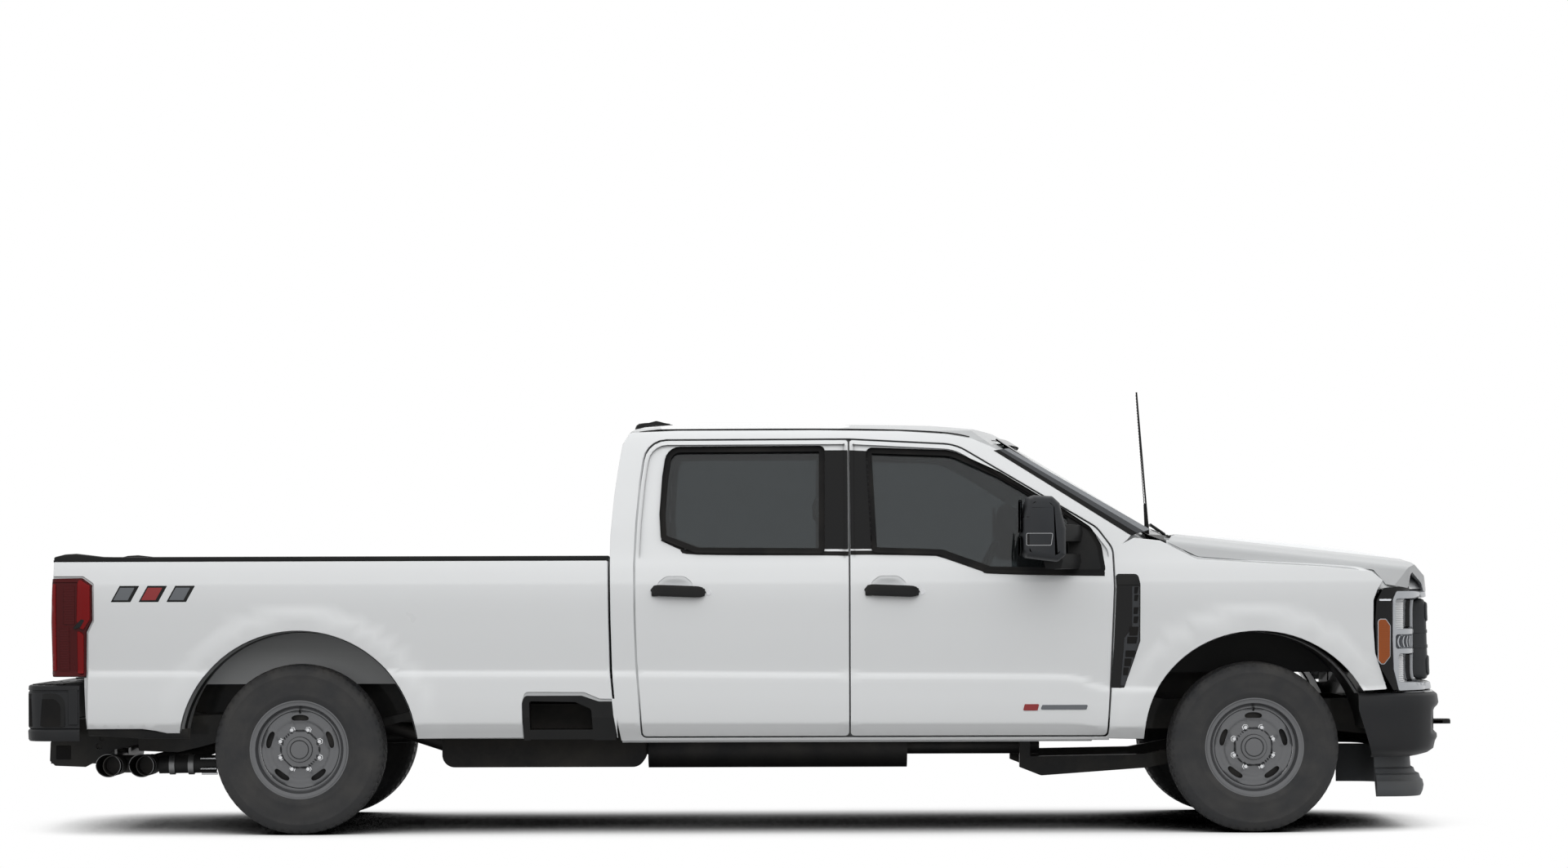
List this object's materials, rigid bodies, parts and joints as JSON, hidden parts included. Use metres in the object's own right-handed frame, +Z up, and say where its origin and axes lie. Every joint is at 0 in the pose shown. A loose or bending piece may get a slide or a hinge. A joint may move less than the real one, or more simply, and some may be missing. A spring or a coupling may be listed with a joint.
{
  "type": "crew-cab pickup truck",
  "caption": "Full-size crew-cab pickup truck with a long open load bed, stepped bed sides, opening doors, hood and tailgate, and steerable front wheels.",
  "frame": {"origin": "centre of the bounding box on the ground", "axes": "+X forward towards the nose, +Y to the truck's left, +Z up"},
  "size_m": [6.776, 2.69, 2.0702],
  "materials": {
    "body_white": "gloss white paint",
    "frame_black": "satin black paint",
    "axle_iron": "painted cast iron",
    "driveline_iron": "bare cast iron",
    "steel": "bare steel",
    "bumper_black": "satin dark paint",
    "trim_black": "grained black plastic",
    "grille_dark": "moulded dark plastic",
    "tank_plastic": "moulded plastic",
    "lamp_lens": "clear lens",
    "lamp_red": "red lens",
    "wheel_silver": "argent paint",
    "tyre": "rubber",
    "window_glass": "tinted glass",
    "seat_cloth": "grey cloth",
    "interior": "dark grey plastic"
  },
  "bodies": {
    "chassis": {"air_dam": "trim_black", "antennas": "trim_black", "bed_floor": "body_white", "bed_headboard": "body_white", "bed_rail_caps": "trim_black", "bed_steps": "trim_black", "bedsides": "body_white", "cab_floor": "body_white", "cab_glass": "window_glass", "cab_side_left": "body_white", "cab_side_right": "body_white", "cab_sills": "body_white", "cowl_panel": "trim_black", "dashboard": "interior", "driveline": "driveline_iron", "exhaust": "steel", "fender_vents": "trim_black", "fenders": "body_white", "frame_crossmembers": "frame_black", "frame_rails": "frame_black", "front_axle": "axle_iron", "front_bumper": "bumper_black", "front_seats": "seat_cloth", "fuel_tank": "tank_plastic", "grille": "grille_dark", "headlamps": "lamp_lens", "hitch_receiver": "frame_black", "radiator_support": "frame_black", "rear_axle": "axle_iron", "rear_bench": "seat_cloth", "rear_bumper": "bumper_black", "roof_panel": "body_white", "springs_and_dampers": "frame_black", "taillamps": "lamp_red", "tow_hooks": "frame_black", "wheel_liners": "trim_black"},
    "door_front_left": {"door_front_left": "body_white", "glass_front_left": "window_glass", "mirror_left": "trim_black"},
    "door_front_right": {"door_front_right": "body_white", "glass_front_right": "window_glass", "mirror_right": "trim_black"},
    "door_rear_left": {"door_rear_left": "body_white", "glass_rear_left": "window_glass"},
    "door_rear_right": {"door_rear_right": "body_white", "glass_rear_right": "window_glass"},
    "hood": {"hood": "body_white"},
    "knuckle_left": {"knuckle_left": "axle_iron"},
    "knuckle_right": {"knuckle_right": "axle_iron"},
    "tailgate": {"tailgate": "body_white"},
    "tie_rod": {"tie_rod": "steel"},
    "wheel_front_left": {"tyre_front_left": "tyre", "wheel_front_left": "wheel_silver"},
    "wheel_front_right": {"tyre_front_right": "tyre", "wheel_front_right": "wheel_silver"},
    "wheel_rear_left": {"tyre_rear_left": "tyre", "wheel_rear_left": "wheel_silver"},
    "wheel_rear_right": {"tyre_rear_right": "tyre", "wheel_rear_right": "wheel_silver"}
  },
  "joints": [
    {"name": "door_front_right_hinge", "type": "hinge", "parent": "chassis", "child": "door_front_right", "pos_m": [1.71, -0.986, 0.866], "axis": [0, 0, 1], "range_deg": [0, 67]},
    {"name": "door_rear_right_hinge", "type": "hinge", "parent": "chassis", "child": "door_rear_right", "pos_m": [0.472, -0.986, 0.866], "axis": [0, 0, 1], "range_deg": [0, 67]},
    {"name": "door_front_left_hinge", "type": "hinge", "parent": "chassis", "child": "door_front_left", "pos_m": [1.71, 0.986, 0.866], "axis": [0, 0, -1], "range_deg": [0, 67]},
    {"name": "door_rear_left_hinge", "type": "hinge", "parent": "chassis", "child": "door_rear_left", "pos_m": [0.472, 0.986, 0.866], "axis": [0, 0, -1], "range_deg": [0, 67]},
    {"name": "hood_hinge", "type": "hinge", "parent": "chassis", "child": "hood", "pos_m": [2.012, 0, 1.352], "axis": [0, -1, 0], "range_deg": [0, 50]},
    {"name": "tailgate_hinge", "type": "hinge", "parent": "chassis", "child": "tailgate", "pos_m": [-3.177, 0, 0.781], "axis": [0, -1, 0], "range_deg": [0, 90]},
    {"name": "steer_left", "type": "hinge", "parent": "chassis", "child": "knuckle_left", "pos_m": [2.403, 0.725, 0.4], "axis": [0, 0, 1], "range_deg": [-35, 35]},
    {"name": "steer_right", "type": "hinge", "parent": "chassis", "child": "knuckle_right", "pos_m": [2.403, -0.725, 0.4], "axis": [0, 0, 1], "range_deg": [-35, 35]},
    {"name": "tie_rod_pivot", "type": "hinge", "parent": "knuckle_left", "child": "tie_rod", "pos_m": [2.568, 0.725, 0.313], "axis": [0, 0, 1], "range_deg": [-35, 35]},
    {"name": "wheel_front_right_spin", "type": "hinge", "parent": "knuckle_right", "child": "wheel_front_right", "pos_m": [2.403, -0.8675, 0.4], "axis": [0, 1, 0], "continuous": true},
    {"name": "wheel_front_left_spin", "type": "hinge", "parent": "knuckle_left", "child": "wheel_front_left", "pos_m": [2.403, 0.8675, 0.4], "axis": [0, 1, 0], "continuous": true},
    {"name": "wheel_rear_right_spin", "type": "hinge", "parent": "chassis", "child": "wheel_rear_right", "pos_m": [-2.067, -0.8535, 0.4], "axis": [0, 1, 0], "continuous": true},
    {"name": "wheel_rear_left_spin", "type": "hinge", "parent": "chassis", "child": "wheel_rear_left", "pos_m": [-2.067, 0.8535, 0.4], "axis": [0, 1, 0], "continuous": true}
  ],
  "couplings": [
    {"joint": "steer_right", "follows": "steer_left", "ratio": 1},
    {"joint": "tie_rod_pivot", "follows": "steer_left", "ratio": -1}
  ]
}
